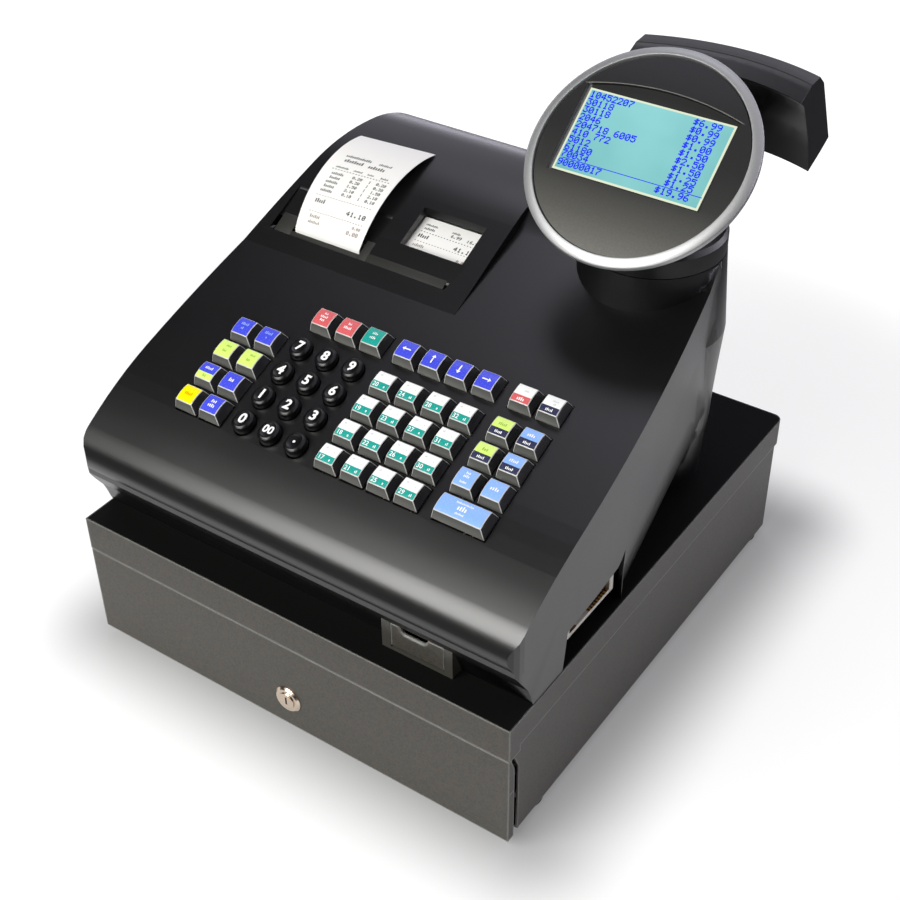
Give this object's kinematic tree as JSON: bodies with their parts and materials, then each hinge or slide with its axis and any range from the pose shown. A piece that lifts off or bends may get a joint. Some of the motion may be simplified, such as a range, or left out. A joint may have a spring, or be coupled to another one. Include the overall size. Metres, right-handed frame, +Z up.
{
  "type": "cash register",
  "caption": "Electronic cash register: sloped key deck on a steel cabinet with a locking cash drawer, hinged printer cover and a round operator display on a swivel.",
  "frame": {"origin": "middle of the overall box, on the counter top under the rubber feet", "axes": "+Z up, +X to the operator's right, -Y towards the operator (the drawer opens along -Y)"},
  "size_m": [0.3685, 0.4203, 0.4195],
  "materials": {
    "steel_paint": "fine textured paint",
    "rubber": "matte",
    "zinc": "zinc plated",
    "nylon": "natural nylon",
    "nickel": "nickel plated",
    "tray_plastic": "moulded",
    "black_plastic": "satin moulded",
    "silver_plastic": "metallic silver",
    "fascia_plastic": "smooth",
    "lcd": "lit display",
    "paper": "thermal paper",
    "board": "circuit board",
    "brass": "turned",
    "iron": "laminated core and winding",
    "black_key": "gloss",
    "blue_key": "clear cap over a coloured legend",
    "light_blue_key": "clear cap over a coloured legend",
    "white_key": "clear cap over a coloured legend"
  },
  "bodies": {
    "register": {"cabinet_shell": "steel_paint", "cabinet_lid": "steel_paint", "rubber_feet": "rubber", "latch_solenoid": "zinc", "ejector_spring": "zinc", "lower_case": "black_plastic", "upper_cover": "black_plastic", "printer_frame": "zinc", "feed_motor": "zinc", "paper_webs": "paper", "main_board": "board", "key_board": "board", "side_connector": "nylon", "power_transformer": "iron", "power_inlet": "tray_plastic"},
    "drawer": {"drawer_front": "steel_paint", "drawer_box": "steel_paint", "money_tray": "tray_plastic", "lock_housing": "nickel"},
    "front_rollers": {"front_rollers": "nylon"},
    "rear_rollers": {"rear_rollers": "nylon"},
    "latch": {"latch_hook": "zinc"},
    "lock": {"lock_cylinder": "nickel"},
    "printer_cover": {"printer_cover": "black_plastic", "receipt_paper": "paper"},
    "platen": {"platen_roller": "rubber"},
    "pinion": {"motor_pinion": "brass"},
    "receipt_roll": {"receipt_roll": "paper"},
    "journal_roll": {"journal_roll": "paper"},
    "takeup": {"takeup_spool": "nylon"},
    "door": {"compartment_door": "black_plastic"},
    "turret": {"turret_head": "black_plastic", "customer_housing": "black_plastic", "customer_window": "fascia_plastic"},
    "operator_display": {"display_housing": "black_plastic", "display_ring": "silver_plastic", "display_fascia": "fascia_plastic", "lcd_screen": "lcd"},
    "clip_1": {"bill_clip_1": "zinc"},
    "clip_2": {"bill_clip_2": "zinc"},
    "clip_3": {"bill_clip_3": "zinc"},
    "clip_4": {"bill_clip_4": "zinc"},
    "clip_5": {"bill_clip_5": "zinc"},
    "key_0": {"key_0": "black_key"},
    "key_1": {"key_1": "black_key"},
    "key_2": {"key_2": "black_key"},
    "key_3": {"key_3": "black_key"},
    "key_4": {"key_4": "black_key"},
    "key_5": {"key_5": "black_key"},
    "key_6": {"key_6": "black_key"},
    "key_7": {"key_7": "black_key"},
    "key_8": {"key_8": "black_key"},
    "key_9": {"key_9": "black_key"},
    "key_00": {"key_00": "black_key"},
    "key_point": {"key_point": "black_key"},
    "key_total": {"key_total": "light_blue_key"},
    "left_keys": {"left_keys": "blue_key"},
    "top_keys": {"top_keys": "blue_key"},
    "department_keys": {"department_keys": "white_key"},
    "right_keys": {"right_keys": "light_blue_key"}
  },
  "joints": [
    {"name": "drawer_slide", "type": "slide", "parent": "register", "child": "drawer", "axis": [0, -1, 0], "range_m": [0, 0.27]},
    {"name": "front_roller_spin", "type": "hinge", "parent": "register", "child": "front_rollers", "pos_m": [-0.00425, -0.17315, 0.0228], "axis": [1, 0, 0], "continuous": true},
    {"name": "rear_roller_spin", "type": "hinge", "parent": "drawer", "child": "rear_rollers", "pos_m": [-0.00425, 0.12485, 0.0278], "axis": [1, 0, 0], "continuous": true},
    {"name": "latch_lift", "type": "hinge", "parent": "register", "child": "latch", "pos_m": [-0.00425, 0.16885, 0.03], "axis": [-1, 0, 0], "range_deg": [0, 22]},
    {"name": "lock_turn", "type": "hinge", "parent": "drawer", "child": "lock", "pos_m": [-0.00505, -0.19715, 0.0343], "axis": [0, -1, 0], "range_deg": [0, 90]},
    {"name": "clip_1_lift", "type": "hinge", "parent": "drawer", "child": "clip_1", "pos_m": [-0.00425, 0.13185, 0.07], "axis": [-1, 0, 0], "range_deg": [0, 40], "stiffness_Nm_per_rad": 0.05, "springref_deg": -22.92},
    {"name": "clip_2_lift", "type": "hinge", "parent": "drawer", "child": "clip_2", "pos_m": [-0.00425, 0.13185, 0.07], "axis": [-1, 0, 0], "range_deg": [0, 40], "stiffness_Nm_per_rad": 0.05, "springref_deg": -22.92},
    {"name": "clip_3_lift", "type": "hinge", "parent": "drawer", "child": "clip_3", "pos_m": [-0.00425, 0.13185, 0.07], "axis": [-1, 0, 0], "range_deg": [0, 40], "stiffness_Nm_per_rad": 0.05, "springref_deg": -22.92},
    {"name": "clip_4_lift", "type": "hinge", "parent": "drawer", "child": "clip_4", "pos_m": [-0.00425, 0.13185, 0.07], "axis": [-1, 0, 0], "range_deg": [0, 40], "stiffness_Nm_per_rad": 0.05, "springref_deg": -22.92},
    {"name": "clip_5_lift", "type": "hinge", "parent": "drawer", "child": "clip_5", "pos_m": [-0.00425, 0.13185, 0.07], "axis": [-1, 0, 0], "range_deg": [0, 40], "stiffness_Nm_per_rad": 0.05, "springref_deg": -22.92},
    {"name": "door_drop", "type": "hinge", "parent": "register", "child": "door", "pos_m": [0.09475, -0.18755, 0.1177], "axis": [1, 0, 0], "range_deg": [0, 80]},
    {"name": "cover_lift", "type": "hinge", "parent": "register", "child": "printer_cover", "pos_m": [-0.08425, 0.14225, 0.28924], "axis": [-1, 0, 0], "range_deg": [0, 52]},
    {"name": "turret_swivel", "type": "hinge", "parent": "register", "child": "turret", "pos_m": [0.10575, 0.07385, 0.304], "axis": [0, 0, -1], "range_deg": [-45, 45]},
    {"name": "display_tilt", "type": "hinge", "parent": "turret", "child": "operator_display", "pos_m": [0.10575, 0.06785, 0.343], "axis": [1, 0, 0], "range_deg": [-20, 8]},
    {"name": "platen_spin", "type": "hinge", "parent": "register", "child": "platen", "pos_m": [-0.07425, 0.00485, 0.244], "axis": [-1, 0, 0], "continuous": true},
    {"name": "pinion_spin", "type": "hinge", "parent": "register", "child": "pinion", "pos_m": [-0.14425, 0.00485, 0.226], "axis": [-1, 0, 0], "continuous": true},
    {"name": "receipt_roll_spin", "type": "hinge", "parent": "register", "child": "receipt_roll", "pos_m": [-0.11225, 0.08885, 0.251], "axis": [-1, 0, 0], "continuous": true},
    {"name": "journal_roll_spin", "type": "hinge", "parent": "register", "child": "journal_roll", "pos_m": [-0.03625, 0.10485, 0.254], "axis": [-1, 0, 0], "continuous": true},
    {"name": "takeup_spin", "type": "hinge", "parent": "register", "child": "takeup", "pos_m": [-0.03625, 0.05585, 0.256], "axis": [-1, 0, 0], "continuous": true},
    {"name": "key_0_press", "type": "slide", "parent": "register", "child": "key_0", "axis": [0, 0.342, -0.9397], "range_m": [0, 0.0035], "stiffness_N_per_m": 250, "springref_m": -0.002},
    {"name": "key_1_press", "type": "slide", "parent": "register", "child": "key_1", "axis": [0, 0.342, -0.9397], "range_m": [0, 0.0035], "stiffness_N_per_m": 250, "springref_m": -0.002},
    {"name": "key_2_press", "type": "slide", "parent": "register", "child": "key_2", "axis": [0, 0.342, -0.9397], "range_m": [0, 0.0035], "stiffness_N_per_m": 250, "springref_m": -0.002},
    {"name": "key_3_press", "type": "slide", "parent": "register", "child": "key_3", "axis": [0, 0.342, -0.9397], "range_m": [0, 0.0035], "stiffness_N_per_m": 250, "springref_m": -0.002},
    {"name": "key_4_press", "type": "slide", "parent": "register", "child": "key_4", "axis": [0, 0.342, -0.9397], "range_m": [0, 0.0035], "stiffness_N_per_m": 250, "springref_m": -0.002},
    {"name": "key_5_press", "type": "slide", "parent": "register", "child": "key_5", "axis": [0, 0.342, -0.9397], "range_m": [0, 0.0035], "stiffness_N_per_m": 250, "springref_m": -0.002},
    {"name": "key_6_press", "type": "slide", "parent": "register", "child": "key_6", "axis": [0, 0.342, -0.9397], "range_m": [0, 0.0035], "stiffness_N_per_m": 250, "springref_m": -0.002},
    {"name": "key_7_press", "type": "slide", "parent": "register", "child": "key_7", "axis": [0, 0.342, -0.9397], "range_m": [0, 0.0035], "stiffness_N_per_m": 250, "springref_m": -0.002},
    {"name": "key_8_press", "type": "slide", "parent": "register", "child": "key_8", "axis": [0, 0.342, -0.9397], "range_m": [0, 0.0035], "stiffness_N_per_m": 250, "springref_m": -0.002},
    {"name": "key_9_press", "type": "slide", "parent": "register", "child": "key_9", "axis": [0, 0.342, -0.9397], "range_m": [0, 0.0035], "stiffness_N_per_m": 250, "springref_m": -0.002},
    {"name": "key_00_press", "type": "slide", "parent": "register", "child": "key_00", "axis": [0, 0.342, -0.9397], "range_m": [0, 0.0035], "stiffness_N_per_m": 250, "springref_m": -0.002},
    {"name": "key_point_press", "type": "slide", "parent": "register", "child": "key_point", "axis": [0, 0.342, -0.9397], "range_m": [0, 0.0035], "stiffness_N_per_m": 250, "springref_m": -0.002},
    {"name": "key_total_press", "type": "slide", "parent": "register", "child": "key_total", "axis": [0, 0.342, -0.9397], "range_m": [0, 0.0035], "stiffness_N_per_m": 300, "springref_m": -0.002},
    {"name": "left_keys_press", "type": "slide", "parent": "register", "child": "left_keys", "axis": [0, 0.342, -0.9397], "range_m": [0, 0.0035], "stiffness_N_per_m": 1520, "springref_m": -0.002},
    {"name": "top_keys_press", "type": "slide", "parent": "register", "child": "top_keys", "axis": [0, 0.342, -0.9397], "range_m": [0, 0.0035], "stiffness_N_per_m": 1710, "springref_m": -0.002},
    {"name": "department_keys_press", "type": "slide", "parent": "register", "child": "department_keys", "axis": [0, 0.342, -0.9397], "range_m": [0, 0.0035], "stiffness_N_per_m": 3040, "springref_m": -0.002},
    {"name": "right_keys_press", "type": "slide", "parent": "register", "child": "right_keys", "axis": [0, 0.342, -0.9397], "range_m": [0, 0.0035], "stiffness_N_per_m": 1140, "springref_m": -0.002}
  ],
  "couplings": [
    {"joint": "front_roller_spin", "follows": "drawer_slide", "rad_per_m": 112.36},
    {"joint": "rear_roller_spin", "follows": "drawer_slide", "rad_per_m": 125},
    {"joint": "pinion_spin", "follows": "platen_spin", "ratio": -2},
    {"joint": "receipt_roll_spin", "follows": "platen_spin", "ratio": 0.26667},
    {"joint": "journal_roll_spin", "follows": "platen_spin", "ratio": 0.38095},
    {"joint": "takeup_spin", "follows": "platen_spin", "ratio": 0.66667}
  ]
}
